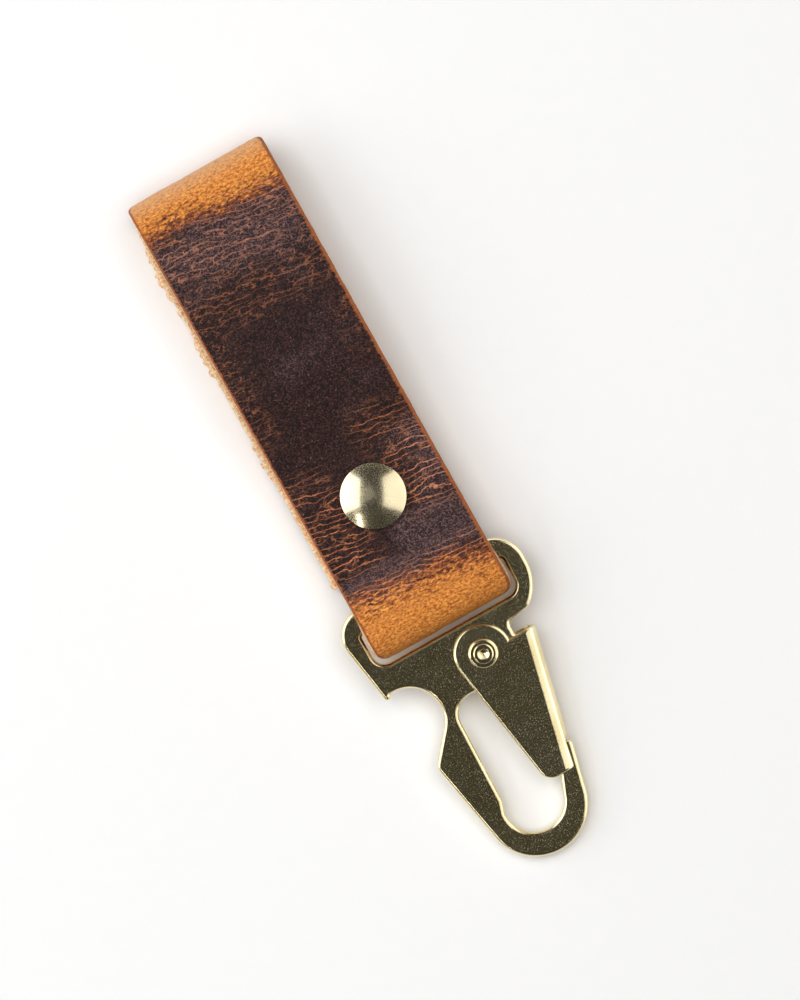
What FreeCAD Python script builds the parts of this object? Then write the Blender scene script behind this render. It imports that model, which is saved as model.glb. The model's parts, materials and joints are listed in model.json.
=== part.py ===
import FreeCAD, Part
import math
import os

# Belt key clip: a folded leather strap closed by a domed rivet, a flat brass clip and its sprung gate.
# Sizes are in millimetres. X runs across the strap, Y along it towards the belt loop, Z up from the table.
# Everything is first built with the middle of the clip's bar at x = 0, y = 0, and moved at the end.

# Strap
strap_width = 25.4
leather_thickness = 2.8
layer_gap = 0.05
rivet_from_bar = 17.1
rivet_off_centre = -0.25
rear_end_margin = 1.3
tail_past_cap = 2.5
loop_apex_from_bar = 78.5
loop_inner_height = 6.0
fold_apex_from_bar = 6.9
fold_clearance = 0.3
fold_straight = 6.5
fold_closing_length = 4.3
fold_closing_radius = 6.0
front_flat_past_cap = 2.9
front_rise_length = 14.5
rear_flat_past_base = 1.0
rear_drop_length = 17.0
slope_radius = 30.0

# Strap rivet
cap_diameter = 11.0
cap_rim_height = 0.6
cap_dome_height = 2.0
cap_stem_diameter = 3.6
post_diameter = 2.6
base_diameter = 10.0
base_thickness = 0.9
base_edge_radius = 0.4
rivet_hole_clearance = 0.05
post_fit_clearance = 0.02
stem_end_gap = 0.3

# Clip plate, seen from the front with the bar's middle at 0, 0
plate_thickness = 2.5
edge_round = 0.6
bar_width = 4.0
ear_reach = 16.7
ear_radius_left = 4.6
ear_radius_right = 5.5
slot_side_clearance = 0.7
slot_gap = 1.5
slot_corner_radius = 2.2
slot_bar_corner_radius = 0.6
tooth_length = 2.8
tooth_inset = 1.44
tooth_tip_radius = 0.65
tooth_root_flat = 0.6
tooth_root_radius = 0.65
opener_radius = 5.75
opener_wall = 1.66
opener_drop = 10.2
opener_corner_drop = 8.8
opener_corner_radius = 2.0
hook_reach = 49.5
hook_outer_radius = 8.7
hook_centre_x = -1.7
hook_left_lean = 10.8
hook_right_lean = 13.2
eye_radius = 5.1
eye_centre_x = -1.85
eye_bottom_wall = 4.2
eye_right_lean = 21.4
eye_left_x = -5.84
eye_left_lean = 1.4
eye_waist_height = 11.9
eye_waist_length = 2.0
eye_waist_radius = 1.5
eye_top_drop = 5.04
eye_top_radius = 3.6
nose_height = 15.6
nose_tip_radius = 0.9
flank_radius = 8.6
flank_rise = 2.8
shoulder_drop = 3.0
shoulder_inset = 3.45
shoulder_corner_radius = 0.65
shoulder_inner_drop = 0.5
shoulder_inner_radius = 1.2
neck_from_pivot = 6.14

# Gate
pivot_x = 2.91
pivot_drop = 5.96
gate_sheet = 0.9
gate_side_clearance = 0.15
gate_bend_radius = 2.0
lobe_radius = 4.9
web_distance = 9.61
web_nose_step = 0.48
web_nose_gap = 0.9
gate_overlap = 4.5
gate_tip_width = 5.1
gate_tip_inset = 0.45
tip_left_radius = 2.4
tip_right_radius = 0.6
leaf_step = 0.75
gate_corner_radius = 0.6
gate_edge_round = 0.45

# Stop lug of the plate, inside the gate
lug_height = 1.35
lug_drop = 0.4
lug_corner_radius = 0.65
stop_gap = 0.45

# Gate rivet
rivet_shank_diameter = 3.0
rivet_running_clearance = 0.05
rivet_head_diameter = 5.0
rivet_head_height = 0.55
rivet_bead_diameter = 3.4
rivet_bead_height = 0.3
rivet_dimple_diameter = 1.9
rivet_dimple_depth = 0.75
rivet_flange_radius = 0.5
rivet_bead_radius = 0.28

# Gate spring
spring_wire = 0.38
spring_radius = 1.0
spring_turns = 2
spring_clearance = 0.12
spring_leaf_clearance = 0.1
spring_plate_leg = 1.7
spring_gate_leg = 5.4

x_axis = FreeCAD.Vector(1, 0, 0)
z_axis = FreeCAD.Vector(0, 0, 1)

# Heights of the strap's layers, worked out from the table up
rear_middle = base_thickness + leather_thickness / 2
tail_middle = rear_middle + leather_thickness + layer_gap
front_middle = tail_middle + leather_thickness + layer_gap
stack_top = front_middle + leather_thickness / 2
bar_height = (tail_middle + front_middle) / 2
plate_half = plate_thickness / 2
gate_half = plate_half + gate_side_clearance + gate_sheet
most_bend_share = 0.9
gate_bend = min(gate_bend_radius, gate_half * most_bend_share)

# Places on the clip, worked out downwards from the bar and upwards from the end of the hook
bar_top = bar_width / 2
slot_low = -(fold_apex_from_bar + slot_gap)
shoulder_y = slot_low - shoulder_drop
pivot_y = slot_low - pivot_drop
eye_top_y = pivot_y - eye_top_drop
opener_centre_y = slot_low - opener_drop
opener_corner_y = opener_centre_y - opener_corner_drop
opener_right = eye_left_x - opener_wall
opener_centre_x = opener_right - opener_radius
hook_centre_y = -hook_reach + hook_outer_radius
eye_bottom = -hook_reach + eye_bottom_wall
eye_waist_y = -hook_reach + eye_waist_height
nose_top_y = -hook_reach + nose_height
web_end_y = nose_top_y + web_nose_gap
gate_tip_y = nose_top_y - gate_overlap
lug_top = pivot_y - lug_drop
lug_low = lug_top - lug_height


def point(x, y, z=0.0):
    return FreeCAD.Vector(x, y, z)


def tangent_way(start, centre, radius, side):
    """Direction from a point along the line that touches a circle, on its left (1) or right (-1)."""
    to_centre = centre - start
    angle = math.atan2(to_centre.y, to_centre.x) + side * math.asin(radius / to_centre.Length)
    return point(math.cos(angle), math.sin(angle))


def corner_arc(before, corner, after, radius):
    """Start, middle, end and centre of the arc that rounds a corner of a path."""
    to_before = (before - corner).normalize()
    to_after = (after - corner).normalize()
    half_angle = to_before.getAngle(to_after) / 2
    reach = radius / math.tan(half_angle)
    bisector = (to_before + to_after).normalize()
    centre = corner + bisector * (radius / math.sin(half_angle))
    middle = centre - bisector * radius
    return corner + to_before * reach, middle, corner + to_after * reach, centre


def add_line(edges, start, end):
    """Add a straight edge, unless its ends meet."""
    shortest_line = 0.001
    if (end - start).Length > shortest_line:
        edges.append(Part.makeLine(start, end))


def fitted_radii(corners):
    """Radii of a closed outline's corners, each limited to what the two sides beside it have room for."""
    count = len(corners)
    reaches = []
    for index, (corner, radius) in enumerate(corners):
        to_before = corners[index - 1][0] - corner
        to_after = corners[(index + 1) % count][0] - corner
        reaches.append(radius / math.tan(to_before.getAngle(to_after) / 2))
    fitted = []
    for index, (corner, radius) in enumerate(corners):
        share = 1.0
        for other in (index - 1, (index + 1) % count):
            side = (corners[other][0] - corner).Length
            wanted = reaches[index] + reaches[other]
            if wanted > side:
                share = min(share, side / wanted)
        fitted.append(radius * share)
    return fitted


def closed_outline(corners):
    """Closed wire through corners given as (point, radius), each rounded by its tangent arc."""
    arcs = []
    for index, radius in enumerate(fitted_radii(corners)):
        before = corners[index - 1][0]
        corner = corners[index][0]
        after = corners[(index + 1) % len(corners)][0]
        if radius > 0:
            arcs.append(corner_arc(before, corner, after, radius)[:3])
        else:
            arcs.append((corner, corner, corner))
    edges = []
    for index, (start, middle, end) in enumerate(arcs):
        if (start - end).Length > 0:
            edges.append(Part.Arc(start, middle, end).toShape())
        add_line(edges, end, arcs[(index + 1) % len(arcs)][0])
    return Part.Wire(Part.__sortEdges__(edges))


def slab(outline, low, high):
    """Solid between two heights above a flat outline."""
    face = Part.Face(outline)
    face.translate(z_axis * low)
    return face.extrude(z_axis * (high - low))


def turned(profile_corners):
    """Solid of revolution about Z from corners given in the XZ plane."""
    face = Part.Face(closed_outline(profile_corners))
    return face.revolve(point(0, 0), z_axis, 360)


def ribbon_side(route, offset):
    """Edges of one side of a ribbon: the rounded route moved sideways, to the left of its travel."""
    edges = []
    first, second = route[0][0], route[1][0]
    here = first + x_axis.cross((second - first).normalize()) * offset
    for index in range(1, len(route) - 1):
        before, (corner, radius), after = route[index - 1][0], route[index], route[index + 1][0]
        start, middle, end, centre = corner_arc(before, corner, after, radius)
        left_in = x_axis.cross((corner - before).normalize())
        left_out = x_axis.cross((after - corner).normalize())
        side = -1 if (centre - start).dot(left_in) > 0 else 1
        outward = (middle - centre).normalize()
        arc_start = start + left_in * offset
        arc_middle = centre + outward * (radius + side * offset)
        arc_end = end + left_out * offset
        add_line(edges, here, arc_start)
        edges.append(Part.Arc(arc_start, arc_middle, arc_end).toShape())
        here = arc_end
    last, before_last = route[-1][0], route[-2][0]
    finish = last + x_axis.cross((last - before_last).normalize()) * offset
    add_line(edges, here, finish)
    return edges


def strap_route():
    """Middle line of the strap from its rear end, over the belt loop and round the bar to its tail end."""
    half = leather_thickness / 2
    loop_radius = loop_inner_height / 2 + half
    loop_low = half
    loop_high = loop_low + 2 * loop_radius
    loop_turn = loop_apex_from_bar - half
    bar_swing = math.hypot(bar_top - edge_round, plate_half - edge_round) + edge_round
    fold_radius = bar_swing + fold_clearance + half
    fold_high = bar_height + fold_radius
    fold_low = bar_height - fold_radius
    fold_turn = half - fold_apex_from_bar
    fold_end = fold_turn + fold_straight
    closed = fold_end + fold_closing_length
    past_cap = rivet_from_bar + cap_diameter / 2
    front_rise_start = past_cap + front_flat_past_cap
    front_rise_end = front_rise_start + front_rise_length
    rear_drop_start = rivet_from_bar + base_diameter / 2 + rear_flat_past_base
    rear_drop_end = rear_drop_start + rear_drop_length
    return [
        (point(0, closed + rear_end_margin, rear_middle), 0),
        (point(0, rear_drop_start, rear_middle), slope_radius),
        (point(0, rear_drop_end, loop_low), slope_radius),
        (point(0, loop_turn, loop_low), loop_radius),
        (point(0, loop_turn, loop_high), loop_radius),
        (point(0, front_rise_end, loop_high), slope_radius),
        (point(0, front_rise_start, front_middle), slope_radius),
        (point(0, closed, front_middle), fold_closing_radius),
        (point(0, fold_end, fold_high), fold_closing_radius),
        (point(0, fold_turn, fold_high), fold_radius),
        (point(0, fold_turn, fold_low), fold_radius),
        (point(0, fold_end, fold_low), fold_closing_radius),
        (point(0, closed, tail_middle), fold_closing_radius),
        (point(0, past_cap + tail_past_cap, tail_middle), 0),
    ]


def leather_strap():
    half = leather_thickness / 2
    route = strap_route()
    one_side = ribbon_side(route, half)
    other_side = ribbon_side(route, -half)
    caps = [
        Part.makeLine(one_side[0].firstVertex().Point, other_side[0].firstVertex().Point),
        Part.makeLine(one_side[-1].lastVertex().Point, other_side[-1].lastVertex().Point),
    ]
    face = Part.Face(Part.Wire(Part.__sortEdges__(one_side + other_side + caps)))
    face.translate(x_axis * (-strap_width / 2))
    strap = face.extrude(x_axis * strap_width)
    hole_radius = cap_stem_diameter / 2 + rivet_hole_clearance
    hole = Part.makeCylinder(hole_radius, stack_top, point(rivet_off_centre, rivet_from_bar, 0))
    return strap.cut(hole)


def strap_rivet_cap():
    """Domed cap on the front of the strap, with the hollow stem that takes the post."""
    rim = cap_diameter / 2
    bore = post_diameter / 2 + post_fit_clearance
    stem = cap_stem_diameter / 2
    stem_low = base_thickness + stem_end_gap
    dome_low = stack_top + cap_rim_height
    dome_top = stack_top + cap_dome_height
    rise = cap_dome_height - cap_rim_height
    dome_radius = (rim ** 2 + rise ** 2) / (2 * rise)
    half_way = rim / 2
    dome_middle = dome_top - dome_radius + math.sqrt(dome_radius ** 2 - half_way ** 2)
    bore_top = stack_top
    dome_edge = point(rim, 0, dome_low)
    below_rim = point(rim - cap_rim_height, 0, stack_top)
    half_turned_in = cap_rim_height * (1 - math.cos(math.pi / 4))
    rim_middle = point(rim - half_turned_in, 0, stack_top + half_turned_in)
    edges = [
        Part.makeLine(point(0, 0, dome_top), point(0, 0, bore_top)),
        Part.makeLine(point(0, 0, bore_top), point(bore, 0, bore_top)),
        Part.makeLine(point(bore, 0, bore_top), point(bore, 0, stem_low)),
        Part.makeLine(point(bore, 0, stem_low), point(stem, 0, stem_low)),
        Part.makeLine(point(stem, 0, stem_low), point(stem, 0, stack_top)),
        Part.makeLine(point(stem, 0, stack_top), below_rim),
        Part.Arc(below_rim, rim_middle, dome_edge).toShape(),
        Part.Arc(dome_edge, point(half_way, 0, dome_middle), point(0, 0, dome_top)).toShape(),
    ]
    cap = Part.Face(Part.Wire(edges)).revolve(point(0, 0), z_axis, 360)
    return cap.translated(point(rivet_off_centre, rivet_from_bar))


def strap_rivet_post():
    """Base disc on the back of the strap and the post that is driven into the cap's stem."""
    post_top = stack_top - stem_end_gap
    rim = base_diameter / 2
    post = post_diameter / 2
    profile = [
        (point(0, 0, 0), 0),
        (point(rim, 0, 0), base_edge_radius),
        (point(rim, 0, base_thickness), base_edge_radius),
        (point(post, 0, base_thickness), 0),
        (point(post, 0, post_top), base_edge_radius),
        (point(0, 0, post_top), 0),
    ]
    return turned(profile).translated(point(rivet_off_centre, rivet_from_bar))


def eye_right_edge(y):
    """X of the eye's slanting right side, which leads up to the hook's nose."""
    slant = math.radians(eye_right_lean)
    eye_right = eye_centre_x + eye_radius / math.cos(slant)
    return eye_right + (y - eye_bottom - eye_radius) * math.tan(slant)


def eye_left_edge(y):
    """X of the eye's left side, which leans a little from the eye's top down to its waist."""
    return eye_left_x + (y - eye_top_y) * math.tan(math.radians(eye_left_lean))


def hook_right_edge(y):
    """X of the hook's slanting right side, which touches the round of the hook and ends at the nose."""
    slant = math.radians(hook_right_lean)
    return hook_centre_x + hook_outer_radius / math.cos(slant) + (y - hook_centre_y) * math.tan(slant)


def hook_left_edge(y):
    """X of the hook's slanting left side, which touches the round of the hook and ends at the opener."""
    slant = math.radians(hook_left_lean)
    return hook_centre_x - hook_outer_radius / math.cos(slant) - (y - hook_centre_y) * math.tan(slant)


def web_slant():
    """Lean of the gate's web, which passes the pivot at its distance and meets the nose with a step."""
    across = hook_right_edge(nose_top_y) - web_nose_step - pivot_x
    down = pivot_y - nose_top_y
    return math.atan2(down, across) - math.acos(web_distance / math.hypot(across, down))


def web_line(y, inside):
    """X of the gate's web at a height y, measured the given depth inside its outer face."""
    slant = web_slant()
    from_pivot = (web_distance - inside) + math.sin(slant) * (y - pivot_y)
    return pivot_x + from_pivot / math.cos(slant)


def plate_outline():
    """Outer edge of the clip, clockwise from the left ear: flank, neck, eye, nose, hook and opener."""
    opener_top = opener_centre_y + opener_radius
    opener_centre = point(opener_centre_x, opener_centre_y)
    opener_corner = point(hook_left_edge(opener_corner_y), opener_corner_y)
    opener_way = tangent_way(opener_corner, opener_centre, opener_radius, -1)
    opener_turn_y = opener_corner_y + (opener_right - opener_corner.x) * opener_way.y / opener_way.x
    tip = point(opener_centre_x - tooth_inset, opener_top - tooth_length)
    ear_centre = point(ear_radius_left - ear_reach, bar_top - ear_radius_left)
    edge_way = tangent_way(tip, ear_centre, ear_radius_left, 1)
    left_top = tip.x + (bar_top - tip.y) * edge_way.x / edge_way.y
    shoulder_x = ear_reach - shoulder_inset
    neck_x = pivot_x + neck_from_pivot
    eye_side = eye_centre_x - eye_radius
    lug_depth = gate_sheet + stop_gap
    return closed_outline([
        (point(left_top, bar_top), ear_radius_left),
        (point(ear_reach, bar_top), ear_radius_right),
        (point(ear_reach, shoulder_y + flank_rise), flank_radius),
        (point(shoulder_x, shoulder_y), shoulder_corner_radius),
        (point(neck_x, shoulder_y - shoulder_inner_drop), shoulder_inner_radius),
        (point(neck_x, lug_top), lug_corner_radius),
        (point(web_line(lug_top, lug_depth), lug_top), lug_corner_radius),
        (point(web_line(lug_low, lug_depth), lug_low), lug_corner_radius),
        (point(spring_seat_x(), lug_low), lug_corner_radius),
        (point(spring_seat_x(), eye_top_y), lug_corner_radius),
        (point(eye_left_x, eye_top_y), eye_top_radius),
        (point(eye_left_edge(eye_waist_y), eye_waist_y), eye_waist_radius),
        (point(eye_side, eye_waist_y - eye_waist_length), eye_waist_radius),
        (point(eye_side, eye_bottom), eye_radius),
        (point(eye_right_edge(eye_bottom), eye_bottom), eye_radius),
        (point(eye_right_edge(nose_top_y), nose_top_y), nose_tip_radius),
        (point(hook_right_edge(nose_top_y), nose_top_y), nose_tip_radius),
        (point(hook_right_edge(-hook_reach), -hook_reach), hook_outer_radius),
        (point(hook_left_edge(-hook_reach), -hook_reach), hook_outer_radius),
        (opener_corner, opener_corner_radius),
        (point(opener_right, opener_turn_y), opener_radius),
        (point(opener_right, opener_top), opener_radius),
        (point(opener_centre_x - tooth_root_flat, opener_top), tooth_root_radius),
        (tip, tooth_tip_radius),
    ])


def slot_outline():
    side = strap_width / 2 + slot_side_clearance
    return closed_outline([
        (point(-side, -bar_top), slot_bar_corner_radius),
        (point(side, -bar_top), slot_bar_corner_radius),
        (point(side, slot_low), slot_corner_radius),
        (point(-side, slot_low), slot_corner_radius),
    ])


def rounded_rims(solid, half_height, radius):
    """The solid with the rims of its two flat faces rounded over."""
    rims = []
    for face in solid.Faces:
        flat = abs(abs(face.CenterOfMass.z) - half_height) < radius / 100
        if flat:
            rims.extend(face.Edges)
    return solid.makeFillet(radius, rims)


def clip_plate():
    outline = plate_outline()
    slot = slot_outline()
    rim_share = 0.3
    thinnest_wall = outline.distToShape(slot)[0]
    plate = slab(outline, -plate_half, plate_half)
    plate = plate.cut(slab(slot, -plate_thickness, plate_thickness))
    plate = rounded_rims(plate, plate_half, min(edge_round, thinnest_wall * rim_share))
    hole = rivet_shank_diameter / 2 + rivet_running_clearance
    return plate.cut(Part.makeCylinder(hole, plate_thickness, point(pivot_x, pivot_y, -plate_half)))


def gate_outline():
    """Outer edge of the folded gate: lobe, open top, web, step at the web's end and tip."""
    lobe_top = pivot_y + lobe_radius
    lobe_right = pivot_x + lobe_radius
    tip_right = point(web_line(gate_tip_y, gate_tip_inset), gate_tip_y)
    tip_left = point(tip_right.x - gate_tip_width, gate_tip_y)
    left_way = tangent_way(tip_left, point(pivot_x, pivot_y), lobe_radius, 1)
    top_left = tip_left.x + (lobe_top - gate_tip_y) * left_way.x / left_way.y
    leaf_edge = web_line(web_end_y, leaf_step)
    return closed_outline([
        (point(top_left, lobe_top), lobe_radius),
        (point(lobe_right, lobe_top), lobe_radius),
        (point(lobe_right, pivot_y), 0),
        (point(web_line(pivot_y, 0), pivot_y), 0),
        (point(web_line(web_end_y, 0), web_end_y), 0),
        (point(leaf_edge, web_end_y - leaf_step), gate_corner_radius),
        (tip_right, tip_right_radius),
        (tip_left, tip_left_radius),
    ])


def gate_hollow():
    """Space between the gate's leaves: left of the web, and right across below the web's end."""
    beyond = hook_reach
    corners = [
        point(-beyond, beyond),
        point(web_line(beyond, gate_sheet), beyond),
        point(web_line(web_end_y, gate_sheet), web_end_y),
        point(beyond, web_end_y),
        point(beyond, -beyond),
        point(-beyond, -beyond),
    ]
    inner_half = plate_half + gate_side_clearance
    hollow = slab(closed_outline([(corner, 0) for corner in corners]), -inner_half, inner_half)
    return hollow.makeFillet(gate_bend - gate_sheet, web_edges(hollow, gate_sheet))


def web_edges(solid, inside):
    """The two long edges of a solid that run along the web, the given depth inside its outer face."""
    edges = []
    for edge in solid.Edges:
        ends = [vertex.Point for vertex in edge.Vertexes]
        on_web = all(abs(end.x - web_line(end.y, inside)) < gate_sheet / 100 for end in ends)
        if on_web and abs(ends[0].z - ends[-1].z) < gate_sheet / 100:
            edges.append(edge)
    return edges


def leaf_edges(solid):
    """The rims of the gate's two outer faces, without the lines where its bends begin."""
    edges = []
    for face in solid.Faces:
        if abs(abs(face.CenterOfMass.z) - gate_half) > gate_edge_round / 100:
            continue
        for edge in face.Edges:
            centre = edge.CenterOfMass
            if abs(centre.x - web_line(centre.y, gate_bend)) > gate_sheet / 10:
                edges.append(edge)
    return edges


def gate():
    block = slab(gate_outline(), -gate_half, gate_half)
    block = block.makeFillet(gate_bend, web_edges(block, 0))
    block = block.makeFillet(gate_edge_round, leaf_edges(block))
    folded = block.cut(gate_hollow())
    hole = rivet_shank_diameter / 2 + rivet_running_clearance
    return folded.cut(Part.makeCylinder(hole, 2 * gate_half, point(pivot_x, pivot_y, -gate_half)))


def gate_rivet():
    """Hollow rivet: plain head behind, and in front a flange with a rolled bead round a dimple."""
    shank = rivet_shank_diameter / 2
    rim = rivet_head_diameter / 2
    seat = gate_half + rivet_running_clearance
    flange = seat + rivet_head_height
    bead_top = flange + rivet_bead_height
    bead = rivet_bead_diameter / 2
    dimple = rivet_dimple_diameter / 2
    profile = [
        (point(0, 0, -flange), 0),
        (point(rim, 0, -flange), rivet_flange_radius),
        (point(rim, 0, -seat), 0),
        (point(shank, 0, -seat), 0),
        (point(shank, 0, seat), 0),
        (point(rim, 0, seat), 0),
        (point(rim, 0, flange), rivet_flange_radius),
        (point(bead, 0, flange), 0),
        (point(bead, 0, bead_top), rivet_bead_radius),
        (point(dimple, 0, bead_top), rivet_bead_radius),
        (point(0, 0, bead_top - rivet_dimple_depth), 0),
    ]
    return turned(profile).translated(point(pivot_x, pivot_y))


def spring_outside():
    return spring_radius + spring_wire / 2


def spring_seat_x():
    """X of the plate's edge beside the spring, so that the coil fills the room up to the web."""
    coil_y = spring_centre_y()
    room_right = web_line(coil_y, gate_sheet)
    return room_right - 2 * spring_outside() - 3 * spring_clearance - spring_wire


def spring_centre_y():
    return lug_low - spring_clearance - spring_outside()


def biarc(start, start_way, end, end_way):
    """Two arcs that join two points and their directions smoothly."""
    across = end - start
    ways = start_way + end_way
    spread = 2 * (1 - start_way.dot(end_way))
    along = across.dot(ways)
    handle = (math.sqrt(along ** 2 + spread * across.dot(across)) - along) / spread
    first_handle = start + start_way * handle
    second_handle = end - end_way * handle
    joint = (first_handle + second_handle) * 0.5
    arcs = []
    for near, corner, far in [(start, first_handle, joint), (joint, second_handle, end)]:
        half_chord = (far - near).Length / 2
        chord_middle = (near + far) * 0.5
        quarter_angle = math.acos(half_chord / (corner - near).Length) / 2
        bulge = (corner - chord_middle).normalize() * (half_chord * math.tan(quarter_angle))
        arcs.append(Part.Arc(near, chord_middle + bulge, far).toShape())
    return arcs


def leg_from_web(height):
    """Least distance of the spring's leg from the web's inner face, at a height beside the gate's bend."""
    inner_bend = gate_bend - gate_sheet
    bend_start = plate_half + gate_side_clearance - inner_bend
    room = inner_bend - spring_wire / 2 - spring_leaf_clearance / 2
    above = max(0.0, height - bend_start)
    return inner_bend - math.sqrt(room ** 2 - above ** 2)


def gate_spring():
    """Hairpin spring: a leg on the plate's edge, turns and a half under the lug, a leg on the web."""
    coil_x = spring_seat_x() + spring_clearance + spring_outside()
    coil_y = spring_centre_y()
    climb = 2 * (plate_half + gate_side_clearance - spring_leaf_clearance) - spring_wire
    coil_to_web = (web_line(coil_y, gate_sheet) - coil_x) * math.cos(web_slant())
    end_to_web = coil_to_web - leg_from_web(climb / 2)
    coil_to_end = math.hypot(spring_radius, spring_gate_leg)
    leg_to_web = math.atan2(spring_gate_leg, spring_radius) - math.acos(end_to_web / coil_to_end)
    quarter_turn = math.pi / 2
    sweep = (4 * spring_turns + 2) * quarter_turn + web_slant() - leg_to_web
    quarter_count = math.ceil(sweep / quarter_turn)
    rise = climb / (sweep * spring_radius)

    def coil_place(step):
        turn = math.pi - sweep * step / quarter_count
        height = climb * (step / quarter_count - 0.5)
        place = point(
            coil_x + spring_radius * math.cos(turn), coil_y + spring_radius * math.sin(turn), height)
        slope = rise if 0 < step < quarter_count else 0
        way = point(math.sin(turn), -math.cos(turn), slope).normalize()
        return place, way

    first, first_way = coil_place(0)
    last, last_way = coil_place(quarter_count)
    plate_end = first - first_way * spring_plate_leg
    gate_end = last + last_way * spring_gate_leg
    path = [Part.makeLine(plate_end, first)]
    for step in range(quarter_count):
        path.extend(biarc(*coil_place(step), *coil_place(step + 1)))
    path.append(Part.makeLine(last, gate_end))
    section = Part.Wire(Part.Circle(plate_end, first_way, spring_wire / 2).toShape())
    return Part.Wire(path).makePipeShell([section], True, False), path


def least_spring_gap(path):
    """Smallest gap between stretches of the spring that are at least half a turn apart along the wire."""
    samples_per_edge = 12
    places = []
    travelled = 0.0
    for edge in path:
        for place in edge.discretize(samples_per_edge)[:-1]:
            places.append((travelled + (place - edge.valueAt(edge.FirstParameter)).Length, place))
        travelled += edge.Length
    half_turn = math.pi * spring_radius
    gaps = [
        (one - other).Length - spring_wire
        for index, (reach, one) in enumerate(places)
        for other_reach, other in places[index + 1:]
        if other_reach - reach > half_turn
    ]
    return min(gaps)


def pitch_angle():
    """Angle by which the clip tips down from its bar until the end of its hook meets the table."""
    along = hook_reach - edge_round
    below = plate_half - edge_round
    return math.asin((bar_height - edge_round) / math.hypot(along, below)) - math.atan2(below, along)


def laid_down(shape):
    """A piece of the clip moved from its flat drawing to where it lies."""
    placed = shape.copy()
    placed.rotate(point(0, 0), x_axis, math.degrees(pitch_angle()))
    placed.translate(z_axis * bar_height)
    return placed


def main():
    spring, spring_path = gate_spring()
    pieces = {
        "leather_strap": leather_strap(),
        "strap_rivet_cap": strap_rivet_cap(),
        "strap_rivet_post": strap_rivet_post(),
        "clip_plate": laid_down(clip_plate()),
        "gate": laid_down(gate()),
        "gate_rivet": laid_down(gate_rivet()),
        "gate_spring": laid_down(spring),
    }
    box = Part.makeCompound(list(pieces.values())).optimalBoundingBox(False)
    to_middle = point(-(box.XMin + box.XMax) / 2, -(box.YMin + box.YMax) / 2, -box.ZMin)
    os.makedirs("parts", exist_ok=True)
    for name, shape in pieces.items():
        moved = shape.translated(to_middle)
        solids = moved.Solids
        moved = solids[0] if len(solids) == 1 else Part.makeCompound(solids)
        moved.exportStep(os.path.join("parts", name + ".step"))
        print(name, "solids", len(solids), "valid", moved.isValid(), "volume", round(moved.Volume, 2))
    wire_length = sum(edge.Length for edge in spring_path)
    wire_section = math.pi * spring_wire ** 2 / 4
    print("spring volume over section times length", round(spring.Volume / (wire_section * wire_length), 4))
    print("least spring gap", round(least_spring_gap(spring_path), 3))
    print("overall", box.XLength, box.YLength, box.ZLength)
    print("pitch in degrees", math.degrees(pitch_angle()))
    print("bar at", to_middle + z_axis * bar_height)


main()
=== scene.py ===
import json
import math

import bmesh
import bpy
import numpy as np
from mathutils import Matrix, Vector


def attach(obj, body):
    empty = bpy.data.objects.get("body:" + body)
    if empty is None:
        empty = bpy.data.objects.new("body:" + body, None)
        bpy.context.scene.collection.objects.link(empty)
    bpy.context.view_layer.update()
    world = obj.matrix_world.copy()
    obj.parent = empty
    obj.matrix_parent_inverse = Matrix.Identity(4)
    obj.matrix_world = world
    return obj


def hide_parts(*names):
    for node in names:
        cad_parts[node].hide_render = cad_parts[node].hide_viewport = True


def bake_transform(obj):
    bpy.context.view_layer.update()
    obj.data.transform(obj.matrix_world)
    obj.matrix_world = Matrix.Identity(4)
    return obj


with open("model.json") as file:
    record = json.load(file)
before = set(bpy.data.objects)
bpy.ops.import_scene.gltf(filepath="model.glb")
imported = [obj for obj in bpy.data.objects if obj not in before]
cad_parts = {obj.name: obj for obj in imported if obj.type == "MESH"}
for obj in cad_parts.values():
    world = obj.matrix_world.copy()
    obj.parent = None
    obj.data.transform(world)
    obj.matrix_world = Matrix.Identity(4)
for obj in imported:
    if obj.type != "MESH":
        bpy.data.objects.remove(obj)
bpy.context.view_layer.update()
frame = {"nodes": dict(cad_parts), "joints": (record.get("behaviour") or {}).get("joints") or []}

joints = {joint["name"]: joint for joint in frame["joints"]}

# Sizes of the strap in metres. They repeat its solid's, but the lower fold reaches 0.7 mm further.
mm = 0.001
strap_width = 25.4 * mm
leather_thickness = 2.8 * mm
layer_gap = 0.05 * mm
rivet_from_bar = 17.1 * mm
rivet_off_centre = -0.25 * mm
rear_end_from_bar = 6.6 * mm
tail_end_from_bar = 25.1 * mm
loop_apex_from_bar = 78.5 * mm
loop_inner_height = 6.0 * mm
fold_apex_from_bar = 7.6 * mm
fold_inner_radius = 2.444 * mm
fold_straight = 7.2 * mm
fold_closing_length = 4.3 * mm
fold_closing_radius = 6.0 * mm
front_rise_start = 25.5 * mm
front_rise_length = 14.5 * mm
rear_drop_start = 23.1 * mm
rear_drop_length = 17.0 * mm
slope_radius = 30.0 * mm
base_thickness = 0.9 * mm
cap_radius = 5.5 * mm
half_width = strap_width / 2
half_thickness = leather_thickness / 2
seen_length = loop_apex_from_bar + fold_apex_from_bar

# How the leather's mesh is divided, and its rounded edges and corners
ring_step = 0.31 * mm
grain_step = 0.27 * mm
flesh_step = 1.0 * mm
edge_corner_steps = 4
edge_side_steps = 7
grain_edge_radius = 0.5 * mm
flesh_edge_radius = 0.35 * mm
low_corner_radius = 1.9 * mm
high_corner_radius = 0.9 * mm

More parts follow.
